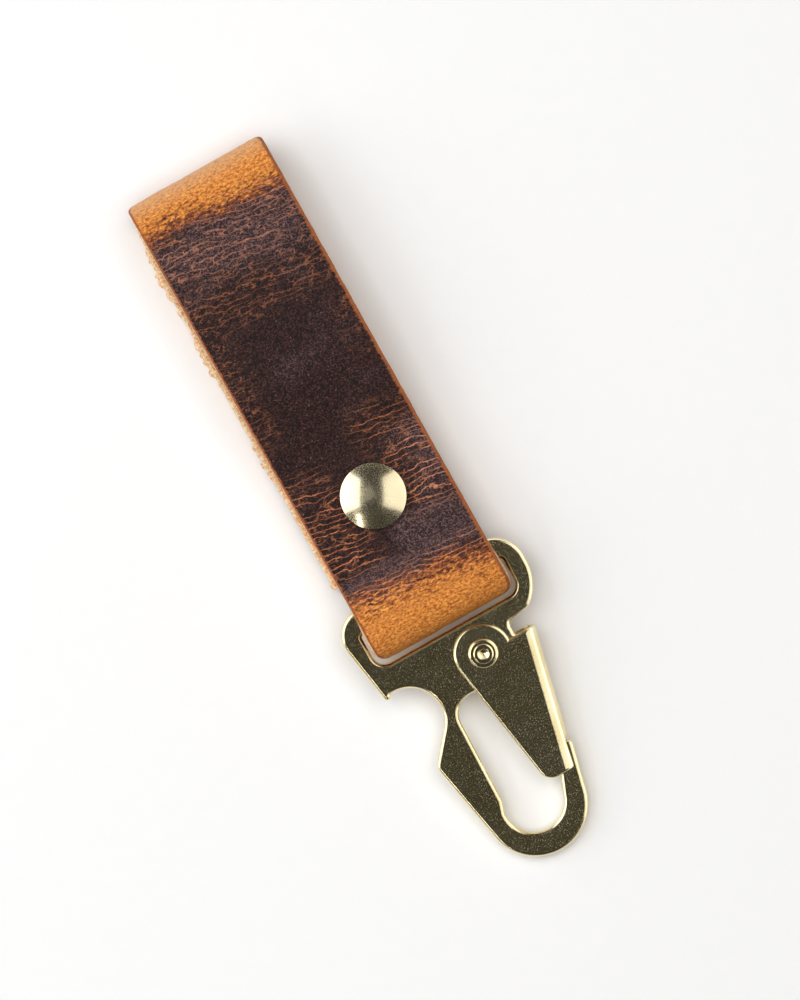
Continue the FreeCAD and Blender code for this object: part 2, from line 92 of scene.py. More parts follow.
# How far the leather swells, wavers and is dented
fold_bulge = 0.35 * mm
bulge_full_until = 4 * mm
bulge_gone_from = 9 * mm
edge_waver = 0.06 * mm
waver_rows_apart = 20
rear_side_shift = -0.75 * mm
rear_shift_length = 14 * mm
rear_ragged = 0.50 * mm
ragged_right_share = 0.35
grain_swell = 0.05 * mm
tan_swell = 0.05 * mm
flesh_roughness = 0.06 * mm
cap_bite = 0.12 * mm
bite_full_inside = 0.2 * mm
bite_gone_outside = 1.6 * mm

# Creases in the leather
crease_spacing = 1.05 * mm
crease_slope = 0.13
crease_depth = 0.05 * mm
crease_wander = 0.8 * mm
crease_flutter = 0.28 * mm
crease_floor = 0.05 * mm
crease_shoulder = 0.3 * mm
rear_crease_strength = 0.5

# Limit in millimetres of a patch of creases or wax that runs past the strap's side
past_the_side = 20

# Where the wax is worn to tan, and where the edges are burnished, with a painted sheen of their rounded edges
# that reaches further on the right
low_tan_reach = 8.3 * mm
low_tan_slope = 0.145
high_tan_reach = 6.0 * mm
high_tan_slope = 0.04
tan_unevenness = 0.9 * mm
tan_fade = 5.0 * mm
high_tan_full = 3.2 * mm
# Reach of the painted sheen at the loop's top, where its curve catches the light
painted_sheen_reach = 4.5 * mm
right_burnish_and_sheen = 1.3 * mm
left_burnish_and_sheen = 0.8 * mm

# How many cuts each of the spring's long edges gets, and the length from which an edge counts as long
leg_cuts = 40
leg_long_edge = 2.0 * mm

# Camera, by the photograph's frame
image_height = 1000
pixels_per_metre = 6050.0
camera_height = 3.0
camera_sensor = 36.0
front_height = 11 * mm
image_turn = math.radians(29.25)
image_centre = Vector((3.3 * mm, -0.25 * mm, 0.0))
image_right = Vector((math.cos(image_turn), -math.sin(image_turn), 0.0))
image_up = Vector((math.sin(image_turn), math.cos(image_turn), 0.0))

bar_place = Vector(joints["clip_swing"]["pos_m"])


def colour(red, green, blue):
    """Linear colour from the usual 0 to 255 values."""
    def linear(value):
        share = value / 255
        return share / 12.92 if share <= 0.04045 else ((share + 0.055) / 1.055) ** 2.4

    return (linear(red), linear(green), linear(blue), 1.0)


# Fine relief and shine of the leather
speck_relief = 0.08 * mm
worn_relief = 0.30 * mm
crease_relief = 0.06 * mm
grain_roughness = (0.54, 0.40)
flesh_side_roughness = 0.88
leather_specular = 0.22

# Colours of the leather
# The waxed face's shadow and grain colours paint shade between its pebbles and light on their raised tops
wax_shadow = colour(15, 8, 7)
wax_grain_lit_tops = colour(74, 44, 40)
# Colour of the painted glints, pale specks that stand in for highlights on the wax
painted_wax_glint = colour(166, 132, 122)
purple_shadow = colour(30, 20, 22)
purple_grain_lit_tops = colour(116, 85, 83)
tan_deep = colour(180, 92, 32)
tan_light = colour(248, 168, 76)
# Paler tan painted as sheen at the loop's top
painted_sheen_tan = colour(240, 194, 146)
tan_pore = colour(104, 48, 20)
rust_deep = colour(66, 28, 16)
rust_light = colour(168, 88, 42)
wrinkle_brown = colour(92, 44, 26)
crease_deep = colour(196, 104, 56)
crease_light = colour(228, 152, 104)
crease_purple = colour(206, 144, 120)
# Rim colours: burnished edges and the painted sheen of their rounded edges
rim_deep = colour(120, 58, 28)
rim_light = colour(190, 108, 56)
cut_deep = colour(214, 160, 108)
cut_light = colour(255, 224, 182)
suede_deep = colour(128, 80, 48)
suede_light = colour(172, 118, 78)

# Pairs of colours that each metal's pattern mixes, its range of roughness, and its specks' size and height
plate_tints = (colour(246, 232, 187), colour(234, 217, 167))
cap_tints = (colour(248, 234, 198), colour(240, 222, 178))
wire_tints = (colour(150, 144, 130), colour(196, 190, 174))
plate_shine = (0.12, 0.20)
pivot_shine = (0.10, 0.18)
cap_shine = (0.13, 0.30)
wire_shine = (0.22, 0.36)
plate_grit = 0.24 * mm
cap_grit = 0.14 * mm
wire_grit = 0.15 * mm
plate_speck = 0.006 * mm
pivot_speck = 0.002 * mm
cap_speck = 0.001 * mm
wire_speck = 0.004 * mm

# The paper floor, the lights' tints and the room that only reflections show
paper_tints = ((0.90, 0.90, 0.90, 1), (0.92, 0.918, 0.912, 1))
paper_grain = 3 * mm
paper_relief = 0.01 * mm
paper_roughness = 0.9
floor_reach = 4.0
floor_drop = 0.1 * mm
warm = (1.0, 0.99, 0.975)
warmer = (1.0, 0.975, 0.955)
cool = (0.96, 1.0, 1.04)
room_foot = (0.12, 0.118, 0.11, 1)
room_sides = (1.25, 1.235, 1.21, 1)
room_overhead = (0.045, 0.044, 0.041, 1)
sides_full_until = math.radians(20)
overhead_full_from = math.radians(36)


def smooth_step(low, high, value):
    """Share from 0 to 1 of the way from low to high, easing in and out."""
    share = np.clip((value - low) / (high - low), 0.0, 1.0)
    return share * share * (3 - 2 * share)


def soft_noise(seed, across, along, cell_across, cell_along):
    """Smooth random field between -1 and 1 over two coordinates, with the given cell sizes."""
    cells = 256
    table = np.random.RandomState(seed).uniform(-1, 1, (cells, cells))
    x = across / cell_across
    y = along / cell_along
    x_floor = np.floor(x).astype(int)
    y_floor = np.floor(y).astype(int)
    x_share = smooth_step(0, 1, x - x_floor)
    y_share = smooth_step(0, 1, y - y_floor)

    def corner(right, up):
        return table[(x_floor + right) % cells, (y_floor + up) % cells]

    low = corner(0, 0) * (1 - x_share) + corner(1, 0) * x_share
    high = corner(0, 1) * (1 - x_share) + corner(1, 1) * x_share
    return low * (1 - y_share) + high * y_share


def corner_inset(distance, radius):
    """How far a rounded corner draws the side in, at a distance from the end of the piece."""
    share = np.clip(1 - distance / radius, 0, 1)
    return radius * (1 - np.sqrt(1 - share ** 2))


def link(name, data):
    """New object in the scene with the given data."""
    piece = bpy.data.objects.new(name, data)
    bpy.context.scene.collection.objects.link(piece)
    return piece


def mesh_object(name, vertices, faces):
    """New smooth object in the scene from its vertices and faces."""
    mesh = bpy.data.meshes.new(name)
    mesh.from_pydata(vertices, [], faces)
    mesh.validate()
    mesh.update()
    mesh.shade_smooth()
    return link(name, mesh)


def strap_corners():
    """Corners of the strap's middle line, each with its radius, from the rear end to the tail end."""
    rear_middle = base_thickness + half_thickness
    tail_middle = rear_middle + leather_thickness + layer_gap
    front_middle = tail_middle + leather_thickness + layer_gap
    bar_height = (tail_middle + front_middle) / 2
    loop_radius = loop_inner_height / 2 + half_thickness
    loop_high = half_thickness + 2 * loop_radius
    loop_turn = loop_apex_from_bar - half_thickness
    fold_radius = fold_inner_radius + half_thickness
    fold_turn = half_thickness - fold_apex_from_bar
    fold_end = fold_turn + fold_straight
    closed = fold_end + fold_closing_length
    return [
        (rear_end_from_bar, rear_middle, 0.0),
        (rear_drop_start, rear_middle, slope_radius),
        (rear_drop_start + rear_drop_length, half_thickness, slope_radius),
        (loop_turn, half_thickness, loop_radius),
        (loop_turn, loop_high, loop_radius),
        (front_rise_start + front_rise_length, loop_high, slope_radius),
        (front_rise_start, front_middle, slope_radius),
        (closed, front_middle, fold_closing_radius),
        (fold_end, bar_height + fold_radius, fold_closing_radius),
        (fold_turn, bar_height + fold_radius, fold_radius),
        (fold_turn, bar_height - fold_radius, fold_radius),
        (fold_end, bar_height - fold_radius, fold_closing_radius),
        (closed, tail_middle, fold_closing_radius),
        (tail_end_from_bar, tail_middle, 0.0),
    ]


def strap_stretches():
    """Straight and round stretches of the strap's middle line: start, heading, length and turn of each."""
    corners = strap_corners()
    places = [Vector((y, z)) for y, z, radius in corners]
    stretches = []
    here = places[0]
    for index in range(1, len(corners) - 1):
        radius = corners[index][2]
        way_in = (places[index] - places[index - 1]).normalized()
        way_out = (places[index + 1] - places[index]).normalized()
        turn = math.atan2(way_in.x * way_out.y - way_in.y * way_out.x, way_in.dot(way_out))
        reach = radius * math.tan(abs(turn) / 2)
        arc_start = places[index] - way_in * reach
        stretches.append((here, way_in, (arc_start - here).length, 0.0))
        stretches.append((arc_start, way_in, radius * abs(turn), turn))
        here = places[index] + way_out * reach
    last_way = (places[-1] - here).normalized()
    stretches.append((here, last_way, (places[-1] - here).length, 0.0))
    end_itself = (places[-1], last_way, 0.0, 0.0)
    return stretches + [end_itself]


def strap_line():
    """Points, travel directions and lengths along the strap's middle line, one row for each ring."""
    rows = []
    travelled = 0.0
    for start, way, length, turn in strap_stretches():
        count = max(1, round(length / ring_step))
        side = Vector((-way.y, way.x))
        for step in range(count):
            part = length * step / count
            angle = turn * step / count
            place = start + way * part
            if turn:
                radius = length / turn
                place = start + way * (radius * math.sin(angle)) + side * (radius * (1 - math.cos(angle)))
            heading = math.atan2(way.y, way.x) + angle
            rows.append((place.x, place.y, math.cos(heading), math.sin(heading), travelled + part))
        travelled += length
    return np.array(rows)


def strap_section():
    """Ring round the strap's cross section: place across, height towards the grain side, and face weights."""
    corner_grain = 0.6
    corner_flesh = 0.5
    grain_half = half_width - grain_edge_radius
    flesh_half = half_width - flesh_edge_radius
    grain_level = half_thickness - grain_edge_radius
    flesh_level = flesh_edge_radius - half_thickness
    rows = []

    def add(across, height, grain, flesh):
        rows.append((across, height, grain, flesh))

    def add_corner(across, height, radius, start, grain, flesh):
        for step in range(1, edge_corner_steps):
            angle = start - math.pi / 2 * step / edge_corner_steps
            add(across + radius * math.cos(angle), height + radius * math.sin(angle), grain, flesh)

    def add_side(sign, first, last):
        for step in range(edge_side_steps + 1):
            add(sign * half_width, first + (last - first) * step / edge_side_steps, 0.0, 0.0)

    def add_face(first, height, step_size, grain, flesh):
        count = round(2 * abs(first) / step_size)
        for step in range(count + 1):
            add(first - 2 * first * step / count, height, grain, flesh)

    add_face(-grain_half, half_thickness, grain_step, 1.0, 0.0)
    add_corner(grain_half, grain_level, grain_edge_radius, math.pi / 2, corner_grain, 0.0)
    add_side(1, grain_level, flesh_level)
    add_corner(flesh_half, flesh_level, flesh_edge_radius, 0.0, 0.0, corner_flesh)
    add_face(flesh_half, -half_thickness, flesh_step, 0.0, 1.0)
    add_corner(-flesh_half, flesh_level, flesh_edge_radius, -math.pi / 2, 0.0, corner_flesh)
    add_side(-1, flesh_level, grain_level)
    add_corner(-grain_half, grain_level, grain_edge_radius, math.pi, corner_grain, 0.0)
    return np.array(rows)


class StrapGrid:
    """The strap as rings along its middle line by points round its section, with a value at each."""

    def __init__(self):
        line = strap_line()
        section = strap_section()
        self.ring_count = len(line)
        self.point_count = len(section)
        full = np.zeros((self.ring_count, self.point_count))
        self.along = line[:, 0:1]
        self.level = line[:, 1:2]
        self.normal_y = line[:, 3:4]
        self.normal_z = -line[:, 2:3]
        self.travelled = line[:, 4:5] + full
        self.across = section[None, :, 0] + full
        self.height = section[None, :, 1] + full
        self.grain = section[None, :, 2] + full
        self.flesh = section[None, :, 3] + full
        self.seen = self.along + fold_apex_from_bar + full
        self.from_side = half_width - np.abs(self.across)
        self.apex_travel = line[np.argmax(line[:, 0]), 4]
        fold_travel = line[np.argmin(line[:, 0]), 4]
        self.on_rear = self.travelled <= self.apex_travel
        self.on_front = (self.travelled > self.apex_travel) & (self.travelled < fold_travel)

    def face_noise(self, seed, across, along):
        """Smooth random field over the leather's faces, with the given cell sizes."""
        return soft_noise(seed, self.across, self.travelled, across, along)

    def edge_noise(self, seed, high, along):
        """Smooth random field over the leather's cut edges, with the given cell sizes."""
        return soft_noise(seed, self.height, self.travelled, high, along)

    def zone(self, low, high, left=-past_the_side, right=past_the_side, soft=2.5):
        """Share from 0 to 1 of a soft-edged patch of the front, with its limits in millimetres."""
        seen = self.seen / mm
        across = self.across / mm
        along = smooth_step(low - soft, low + soft, seen) * (1 - smooth_step(high - soft, high + soft, seen))
        sideways = smooth_step(left - soft, left + soft, across)
        return along * sideways * (1 - smooth_step(right - soft, right + soft, across))


def crease_strength(grid):
    """How far creases break the wax, over the front by the distance seen from the lower fold."""
    front = np.maximum.reduce([
        0.80 * grid.zone(6, 12),
        1.00 * grid.zone(15, 28, right=-4),
        1.00 * grid.zone(19, 33, left=4),
        0.75 * grid.zone(28, 33, right=-5),
        0.55 * grid.zone(31, 38, left=2),
        0.30 * grid.zone(40, 60, right=-9),
        0.25 * grid.zone(46, 56, left=9),
        0.32 * grid.zone(60, 72),
        0.60 * grid.zone(70, 80),
    ])
    return np.where(grid.on_rear, rear_crease_strength, front)


def wax_cover(grid):
    """Where the dark wax lies unbroken and looks purple rather than red."""
    return np.maximum.reduce([
        1.00 * grid.zone(11, 19, left=0),
        0.80 * grid.zone(9, 14, right=2),
        0.70 * grid.zone(68, 80, soft=6),
        0.12 * grid.zone(36, 68, left=-6, soft=6),
        0.50 * grid.zone(18, 34, left=6, soft=4),
    ])


def crease_rows(grid, strength):
    """Count of crease rows passed at each point, and how strongly its own row is drawn there."""
    wander = crease_wander * grid.face_noise(21, across=5 * mm, along=2.6 * mm)
    wander = wander + crease_flutter * grid.face_noise(22, across=1.3 * mm, along=1.1 * mm)
    lean = crease_slope * grid.across * np.where(grid.on_front, -1, 1)
    phase = (grid.travelled + lean + wander) / crease_spacing
    lasting = soft_noise(23, grid.across, np.floor(phase), 5 * mm, 1.0)
    power = strength * smooth_step(-0.45, 0.35, lasting + 0.5 * strength)
    return phase, np.clip(power, 0, 1) * grid.grain


def tan_share(grid):
    """How far the wax is worn off to tan, at the lower fold and at the belt loop."""
    uneven = tan_unevenness * grid.face_noise(7, across=5 * mm, along=9 * mm)
    low_edge = low_tan_reach - low_tan_slope * grid.across + uneven
    high_edge = seen_length - high_tan_reach - high_tan_slope * grid.across + uneven
    low_tan = 1 - smooth_step(-tan_fade, tan_fade, grid.seen - low_edge)
    high_tan = smooth_step(-tan_fade, high_tan_full, grid.seen - high_edge)
    return np.maximum(low_tan, high_tan) * grid.grain


def surface_lift(grid, tan, phase, power):
    """How far each point stands off the plain strap: grain, creases, the cap's dent and the rough back."""
    swell = grain_swell * grid.face_noise(5, across=4 * mm, along=3 * mm)
    pebble = tan_swell * tan * grid.face_noise(14, across=0.85 * mm, along=0.6 * mm)
    from_row = np.abs(phase - np.floor(phase) - 0.5) * crease_spacing
    groove = crease_depth * power * (1 - smooth_step(crease_floor, crease_shoulder, from_row))
    rivet_gap = np.hypot(grid.across - rivet_off_centre, grid.along - rivet_from_bar)
    outside_cap = smooth_step(cap_radius - bite_full_inside, cap_radius + bite_gone_outside, rivet_gap)
    bite = cap_bite * (1 - outside_cap) * grid.on_front
    rough = flesh_roughness * grid.face_noise(6, across=0.9 * mm, along=0.9 * mm)
    return grid.grain * (swell + pebble - groove - bite) + grid.flesh * rough


def rear_share_of(grid):
    """Share from 0 to 1 by which the strap has turned over at the belt loop to its rear layer."""
    return smooth_step(-grid.apex_travel, rear_shift_length - grid.apex_travel, -grid.travelled)


def edge_waves(grid, rear_share):
    """How far the cut edges stand out: a light waver all along, and tufts on the ragged rear layer."""
    each_side = waver_rows_apart * np.sign(grid.across)
    waver = edge_waver * soft_noise(12, each_side, grid.travelled, 1.0, 2.2 * mm)
    waver = waver + edge_waver * 0.5 * grid.edge_noise(13, high=0.5 * mm, along=0.5 * mm)
    long_tufts = grid.edge_noise(15, high=0.9 * mm, along=4.5 * mm)
    short_tufts = grid.edge_noise(16, high=0.6 * mm, along=0.65 * mm)
    tufts = 0.8 * long_tufts + 0.8 * short_tufts
    by_side = np.where(grid.across < 0, 1.0, ragged_right_share)
    ragged = rear_ragged * np.clip(tufts, 0, 1.2) ** 2 * rear_share * by_side
    border = 1 - grid.grain - grid.flesh
    return np.sign(grid.across) * border * (waver + ragged)


def place_across(grid):
    """Place of each point across the strap, with the rounded corners of both folds and the fold's bulge."""
    rear_share = rear_share_of(grid)
    plan = grid.along + grid.normal_y * grid.height
    rounding = corner_inset(plan + fold_apex_from_bar, low_corner_radius)
    rounding = rounding + corner_inset(loop_apex_from_bar - plan, high_corner_radius)
    towards_flesh = smooth_step(-half_thickness, half_thickness, -grid.height)
    bulge = fold_bulge * towards_flesh * (1 - smooth_step(bulge_full_until, bulge_gone_from, grid.seen))
    narrowed = grid.across * (1 - (rounding - bulge) / half_width)
    return narrowed + rear_side_shift * rear_share + edge_waves(grid, rear_share)


def ring_faces(ring_count, point_count):
    """Four-sided faces between neighbouring rings, and one face at each end."""
    faces = []
    for ring in range(ring_count - 1):
        low = ring * point_count
        high = low + point_count
        for index in range(point_count):
            after = (index + 1) % point_count
            faces.append((low + index, low + after, high + after, high + index))
    faces.append(tuple(range(point_count - 1, -1, -1)))
    faces.append(tuple((ring_count - 1) * point_count + index for index in range(point_count)))
    return faces


def leather_marks(grid, strength, phase, power, tan):
    """Values that the leather's material reads at each point."""
    net_share = 0.45 + 0.40 * smooth_step(30 * mm, 52 * mm, grid.seen)
    burnish_and_sheen_reach = np.where(grid.across > 0, right_burnish_and_sheen, left_burnish_and_sheen)
    return {
        "crease_phase": phase,
        "crease_power": power,
        "net_power": strength ** 0.75 * net_share * grid.grain,
        "tan": tan,
        "painted_sheen": smooth_step(seen_length - painted_sheen_reach, seen_length, grid.seen) * grid.grain,
        "wax": wax_cover(grid),
        "burnish_and_sheen": np.clip(1 - grid.from_side / burnish_and_sheen_reach, 0, 1) * (grid.grain > 0),
        "inner": smooth_step(0.2 * mm, 1.6 * mm, grid.from_side),
        "grain_side": grid.grain,
        "flesh_side": grid.flesh,
    }


def store(piece, name, kind, field, values):
    """Keep one value or vector for each point of a mesh."""
    layer = piece.data.attributes.new(name, kind, "POINT")
    layer.data.foreach_set(field, np.ascontiguousarray(values.reshape(-1), np.float32))


def leather_strap():
    """The strap's own mesh in place of its plain solid."""
    grid = StrapGrid()
    strength = crease_strength(grid)
    phase, power = crease_rows(grid, strength)
    tan = tan_share(grid)
    height = grid.height + surface_lift(grid, tan, phase, power)
    x = place_across(grid)
    y = grid.along + grid.normal_y * height + bar_place.y
    z = grid.level + grid.normal_z * height
    vertices = np.stack([x, y, z], 2).reshape(-1, 3)
    strap = mesh_object("strap_leather", vertices.tolist(), ring_faces(grid.ring_count, grid.point_count))
    for name, values in leather_marks(grid, strength, phase, power, tan).items():
        store(strap, name, "FLOAT", "value", values)
    leather_place = np.stack([grid.across, grid.travelled, grid.height], 2)
    store(strap, "leather_place", "FLOAT_VECTOR", "vector", leather_place)
    strap.data.materials.append(leather_material())
    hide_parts("leather_strap")
    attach(strap, "strap")


def gate_spring_wire():
    """The spring in the gate, with its long edges cut into short pieces."""
    wire = bpy.data.meshes.new("gate_spring_wire")
    shape = bmesh.new()
    shape.from_mesh(frame["nodes"]["gate_spring"].data)
    long_edges = [edge for edge in shape.edges if edge.calc_length() > leg_long_edge]
    bmesh.ops.subdivide_edges(shape, edges=long_edges, cuts=leg_cuts)
    shape.to_mesh(wire)
    shape.free()
    wire.materials.clear()
    wire.materials.append(spring_material())
    piece = link("gate_spring_wire", wire)
    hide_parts("gate_spring")
    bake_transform(piece)


class Nodes:
    """Short ways to add and join the nodes of one material, or of the world."""

    def __init__(self, owner):
        owner.use_nodes = True
        self.owner = owner
        self.tree = owner.node_tree

    def put(self, socket, value):
        """Link a socket to another one, or set it to a plain value."""
        if isinstance(value, bpy.types.NodeSocket):
            self.tree.links.new(value, socket)
        else:
            socket.default_value = value

    def add(self, kind, **values):
        node = self.tree.nodes.new(kind)
        for name, value in values.items():
            setattr(node, name, value)
        return node

    def place(self):
        return self.add("ShaderNodeTexCoord").outputs["Object"]

    def attribute(self, name, output="Fac"):
        return self.add("ShaderNodeAttribute", attribute_name=name).outputs[output]

    def vector_math(self, operation, first, second):
        node = self.add("ShaderNodeVectorMath", operation=operation)
        self.put(node.inputs[0], first)
        self.put(node.inputs[1], second)
        return node.outputs["Value" if operation == "DOT_PRODUCT" else "Vector"]

    def stretched(self, vector, across, along):
        """Coordinates in which one unit is the given size across and along the piece."""
        return self.vector_math("MULTIPLY", vector, (1 / across, 1 / along, 1 / along))

    def shifted(self, vector, along):
        """Coordinates moved along the piece by a distance that another pattern gives."""
        way = self.add("ShaderNodeCombineXYZ")
        self.put(way.inputs["Y"], along)
        return self.vector_math("ADD", vector, way.outputs[0])

    def pattern(self, vector, across, along, detail=2.0, distortion=0.0, roughness=0.5):
        """Cloudy noise whose features have the given size across and along the piece."""
        node = self.add("ShaderNodeTexNoise")
        self.put(node.inputs["Vector"], self.stretched(vector, across, along))
        self.put(node.inputs["Scale"], 1.0)
        self.put(node.inputs["Detail"], detail)
        self.put(node.inputs["Roughness"], roughness)
        self.put(node.inputs["Distortion"], distortion)
        return node.outputs["Fac"]

    def cell_edges(self, vector, across, along):
        """Distance to the nearest edge of a net of cells with the given size."""
        node = self.add("ShaderNodeTexVoronoi", feature="DISTANCE_TO_EDGE")
        self.put(node.inputs["Vector"], self.stretched(vector, across, along))
        self.put(node.inputs["Scale"], 1.0)
        return node.outputs["Distance"]

    def math(self, operation, first, second=0.0):
        node = self.add("ShaderNodeMath", operation=operation)
        self.put(node.inputs[0], first)
        self.put(node.inputs[1], second)
        return node.outputs[0]

    def plus(self, first, second):
        return self.math("ADD", first, second)

    def minus(self, first, second):
        return self.math("SUBTRACT", first, second)

    def times(self, first, second):
        return self.math("MULTIPLY", first, second)

    def spread(self, value, low, high, to_low=0.0, to_high=1.0):
        """Smooth step of a value from low to high, carried over to another range."""
        node = self.add("ShaderNodeMapRange", interpolation_type="SMOOTHSTEP")
        self.put(node.inputs["Value"], value)
        self.put(node.inputs["From Min"], low)
        self.put(node.inputs["From Max"], high)
        self.put(node.inputs["To Min"], to_low)
        self.put(node.inputs["To Max"], to_high)
        return node.outputs["Result"]

    def mix(self, share, first, second):
        """Colour between two others. The sockets go by number, because their names aren't unique."""
        node = self.add("ShaderNodeMix", data_type="RGBA")
        self.put(node.inputs["Factor"], share)
        self.put(node.inputs[6], first)
        self.put(node.inputs[7], second)
        return node.outputs[2]

    def bump(self, height, distance, normal=None):
        node = self.add("ShaderNodeBump")
        self.put(node.inputs["Height"], height)
        self.put(node.inputs["Distance"], distance)
        if normal:
            self.put(node.inputs["Normal"], normal)
        return node.outputs["Normal"]

    def finish(self, base, roughness, normal, metallic=0.0, specular=0.5):
        """Join the patterns to the material's shader and return the material."""
        shader = self.tree.nodes["Principled BSDF"]
        self.put(shader.inputs["Base Color"], base)
        self.put(shader.inputs["Roughness"], roughness)
        self.put(shader.inputs["Normal"], normal)
        self.put(shader.inputs["Metallic"], metallic)
        self.put(shader.inputs["Specular IOR Level"], specular)
        return self.owner


def material_nodes(name):
    return Nodes(bpy.data.materials.new(name))


def leather_dark(n, place, purple_share):
    """Colour of the waxed face: painted shade, near black, between its grains, grain tops painted paler as if
    lit, and a few painted glints.
    """
    speck = n.pattern(place, across=0.29 * mm, along=0.26 * mm, detail=3.0, roughness=0.7)
    glint = n.pattern(place, across=0.40 * mm, along=0.34 * mm, detail=1.0)
    shadow = n.mix(purple_share, wax_shadow, purple_shadow)
    grain = n.mix(purple_share, wax_grain_lit_tops, purple_grain_lit_tops)
    # The same pattern raises the grains in the bump, so this mix paints shade in their hollows and light on
    # their tops
    dark = n.mix(n.spread(speck, 0.44, 0.66), shadow, grain)
    # Painted glints: sparse pale specks that stand in for highlights on the wax
    dark = n.mix(n.spread(glint, 0.66, 0.80, 0.0, 0.4), dark, painted_wax_glint)
    return dark, speck


def leather_worn(n, place):
    """Colour of the tan that shows where the wax is worn off: fine rows of grains with dark pores, and a
    painted sheen towards the loop's top.
    """
    grains = n.pattern(place, across=0.60 * mm, along=0.28 * mm, detail=3.0, distortion=0.4, roughness=0.65)
    pores = n.pattern(place, across=0.85 * mm, along=0.48 * mm, distortion=0.3)
    worn = n.mix(n.spread(grains, 0.34, 0.66), tan_deep, tan_light)
    # Painted sheen: paler towards the loop's top, where its curve faces the light
    worn = n.mix(n.times(n.attribute("painted_sheen"), 0.7), worn, painted_sheen_tan)
    worn = n.mix(n.spread(pores, 0.62, 0.76, 0.0, 0.7), worn, tan_pore)
    return worn, grains


def crease_lines(n, place, patch):
    """How far the long wavy creases break the wax at each place."""
    fine = n.pattern(place, across=0.42 * mm, along=0.42 * mm)
    jitter = n.times(n.minus(fine, 0.5), 0.45)
    phase = n.math("FRACT", n.plus(n.attribute("crease_phase"), jitter))
    from_line = n.math("ABSOLUTE", n.minus(phase, 0.5))
    half_line = n.spread(patch, 0.35, 0.65, 0.09, 0.15)
    line = n.times(n.spread(from_line, half_line, 0.02), n.attribute("crease_power"))
    gaps = n.pattern(place, across=2.2 * mm, along=0.8 * mm, distortion=0.3)
    return n.times(line, n.spread(gaps, 0.3, 0.55, 0.25, 1.0))


def crease_net(n, place):
    """How far the finer net between the creases breaks the wax at each place."""
    waves = n.pattern(place, across=1.2 * mm, along=1.0 * mm)
    bent = n.shifted(place, n.times(n.minus(waves, 0.5), 1.5 * mm))
    from_edge = n.cell_edges(bent, across=1.9 * mm, along=0.62 * mm)
    breaks = n.pattern(place, across=1.7 * mm, along=1.3 * mm)
    net = n.times(n.spread(from_edge, 0.10, 0.02), n.spread(breaks, 0.46, 0.62, 0.0, 0.9))
    return n.times(net, n.attribute("net_power"))


def leather_body(n, place):
    """Colour of the cut edges and of the rough back."""
    fibre = n.pattern(place, across=0.5 * mm, along=0.35 * mm, detail=4.0, distortion=1.0)
    cut = n.mix(n.spread(fibre, 0.35, 0.65), cut_deep, cut_light)
    suede = n.mix(n.spread(fibre, 0.3, 0.7), suede_deep, suede_light)
    return n.mix(n.times(n.attribute("flesh_side"), n.attribute("inner")), cut, suede)


def worn_through(n, place, wavelet, dark, worn, grains):
    """The waxed colour giving way to the tan in rusty streaks and brown wrinkles."""
    tan = n.attribute("tan")
    rusty = n.mix(n.spread(grains, 0.36, 0.64), rust_deep, rust_light)
    broken_up = n.plus(n.times(wavelet, 1.6), n.times(grains, 0.5))
    uneven = n.times(n.minus(broken_up, 1.05), n.spread(tan, 0.0, 0.3))
    streaky = n.plus(tan, uneven)
    face = n.mix(n.spread(streaky, 0.12, 0.50), dark, rusty)
    face = n.mix(n.spread(streaky, 0.36, 0.78), face, worn)
    wrinkle = n.pattern(place, across=1.5 * mm, along=0.42 * mm, distortion=0.8)
    fading = n.times(n.spread(tan, 0.15, 0.45), n.spread(tan, 0.60, 1.0, 1.0, 0.12))
    return n.mix(n.times(fading, n.spread(wrinkle, 0.47, 0.36, 0.0, 0.6)), face, wrinkle_brown)


def leather_material():
    """Waxed pull-up leather: dark and pebbled, worn to tan at the folds and orange along its creases."""
    n = material_nodes("leather")
    place = n.attribute("leather_place", "Vector")
    grain_side = n.attribute("grain_side")
    patch = n.pattern(place, across=11 * mm, along=7 * mm, detail=3.0)
    wavelet = n.pattern(place, across=1.4 * mm, along=0.45 * mm, distortion=0.3)
    patchy = n.times(n.minus(patch, 0.5), 1.2)
    purple_share = n.spread(n.plus(n.attribute("wax"), patchy), 0.1, 0.7)
    dark, speck = leather_dark(n, place, purple_share)
    worn, grains = leather_worn(n, place)
    crease = n.math("MAXIMUM", crease_lines(n, place, patch), crease_net(n, place))

    face = worn_through(n, place, wavelet, dark, worn, grains)
    crease_tint = n.mix(n.spread(grains, 0.35, 0.65), crease_deep, crease_light)
    crease_tint = n.mix(n.times(purple_share, 0.6), crease_tint, crease_purple)
    face = n.mix(n.times(crease, 0.95), face, crease_tint)
    # Burnished rim with a painted sheen of the rounded edge, wider on the right
    rim = n.plus(n.attribute("burnish_and_sheen"), n.times(n.minus(wavelet, 0.5), 0.7))
    face = n.mix(n.spread(rim, 0.40, 0.75), face, n.mix(grains, rim_deep, rim_light))
    base = n.mix(n.spread(grain_side, 0.35, 0.6), leather_body(n, place), face)

    gloss = n.spread(speck, 0.3, 0.7, *grain_roughness)
    matt = n.spread(grain_side, 0.3, 0.8, flesh_side_roughness, 0.0)
    worn_grains = n.times(grains, n.spread(n.attribute("tan"), 0.1, 0.8, 0.2, 1.0))
    relief = n.bump(speck, speck_relief)
    relief = n.bump(worn_grains, worn_relief, relief)
    relief = n.bump(n.times(crease, -1.0), crease_relief, relief)
    return n.finish(base, n.math("MAXIMUM", gloss, matt), relief, specular=leather_specular)


